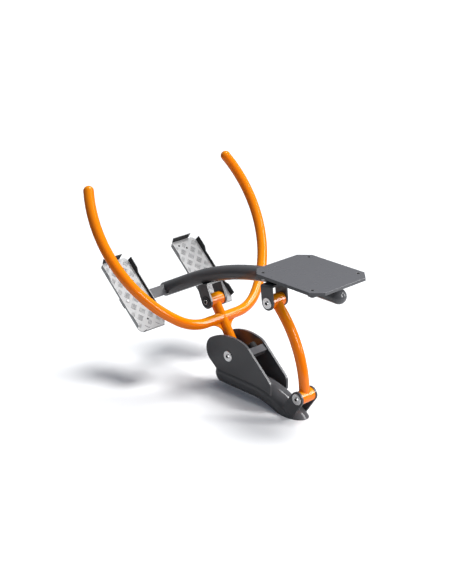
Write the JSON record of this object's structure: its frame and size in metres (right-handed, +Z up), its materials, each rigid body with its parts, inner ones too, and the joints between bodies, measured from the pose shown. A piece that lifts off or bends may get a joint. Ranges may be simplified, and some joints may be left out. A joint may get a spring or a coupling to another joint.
{
  "type": "outdoor rowing machine",
  "caption": "Ground-fixed park rowing machine: a leaning wide handlebar, a curved seat beam with footplates and a rear rocker form a linkage that lifts the seated user.",
  "frame": {"origin": "on the ground, where the axis of the base tube meets it, in the machine's middle plane and at the centre of the anchor bolts", "axes": "+Z up, +X from the footplates towards the seat, +Y towards the side of the machine that the picture sees from behind"},
  "size_m": [1.1099, 0.8602, 0.8402],
  "materials": {
    "orange_paint": "gloss powder coat",
    "grey_paint": "satin powder coat",
    "stainless": "turned",
    "checker_plate": "raised-bar tread sheet",
    "bush_plastic": "plain bearing",
    "rubber": "moulded"
  },
  "bodies": {
    "base": {"base_tube": "grey_paint", "base_front_cap": "grey_paint", "anchor_plate": "grey_paint", "left_cheek_plate": "grey_paint", "right_cheek_plate": "grey_paint", "left_rear_ear": "grey_paint", "right_rear_ear": "grey_paint", "front_stop_bar": "grey_paint", "rear_stop_bar": "grey_paint", "front_stop_buffer": "rubber", "rear_stop_buffer": "rubber", "handle_axle": "stainless", "link_axle": "stainless", "base_pivot_discs": "stainless", "base_pivot_screws": "stainless"},
    "handle": {"lower_stem": "orange_paint", "upper_stem": "orange_paint", "lower_handle_hub": "orange_paint", "upper_handle_hub": "orange_paint", "handle_bushes": "bush_plastic", "handlebar": "orange_paint", "handle_end_caps": "orange_paint", "left_stem_web": "orange_paint", "right_stem_web": "orange_paint"},
    "rear_link": {"link_tube": "orange_paint", "lower_link_hub": "orange_paint", "upper_link_hub": "orange_paint", "link_bushes": "bush_plastic"},
    "beam": {"beam_tube": "grey_paint", "beam_nose_plate": "grey_paint", "beam_rear_cap": "grey_paint", "front_clevis": "grey_paint", "rear_clevis": "grey_paint", "front_beam_axle": "stainless", "rear_beam_axle": "stainless", "beam_pivot_discs": "stainless", "beam_pivot_screws": "stainless", "seat_board": "grey_paint", "front_seat_strap": "grey_paint", "rear_seat_strap": "grey_paint", "seat_screws": "stainless", "seat_nuts": "stainless", "foot_crossbar": "grey_paint", "left_footplate": "checker_plate", "right_footplate": "checker_plate", "footplate_screws": "stainless", "footplate_nuts": "stainless"}
  },
  "joints": [
    {"name": "handle_swing", "type": "hinge", "parent": "base", "child": "handle", "pos_m": [-0.3129, 0, 0.159], "axis": [0, 1, 0], "range_deg": [0, 70]},
    {"name": "rear_link_swing", "type": "hinge", "parent": "base", "child": "rear_link", "pos_m": [0.0611, 0, 0.095], "axis": [0, 1, 0], "range_deg": [0, 41]},
    {"name": "beam_swing", "type": "hinge", "parent": "handle", "child": "beam", "pos_m": [-0.44702, 0, 0.35343], "axis": [0, 1, 0], "range_deg": [-73.5, 0]}
  ],
  "couplings": [
    {"joint": "rear_link_swing", "follows": "handle_swing", "ratio": 0.5802},
    {"joint": "beam_swing", "follows": "handle_swing", "ratio": -1.0426}
  ]
}
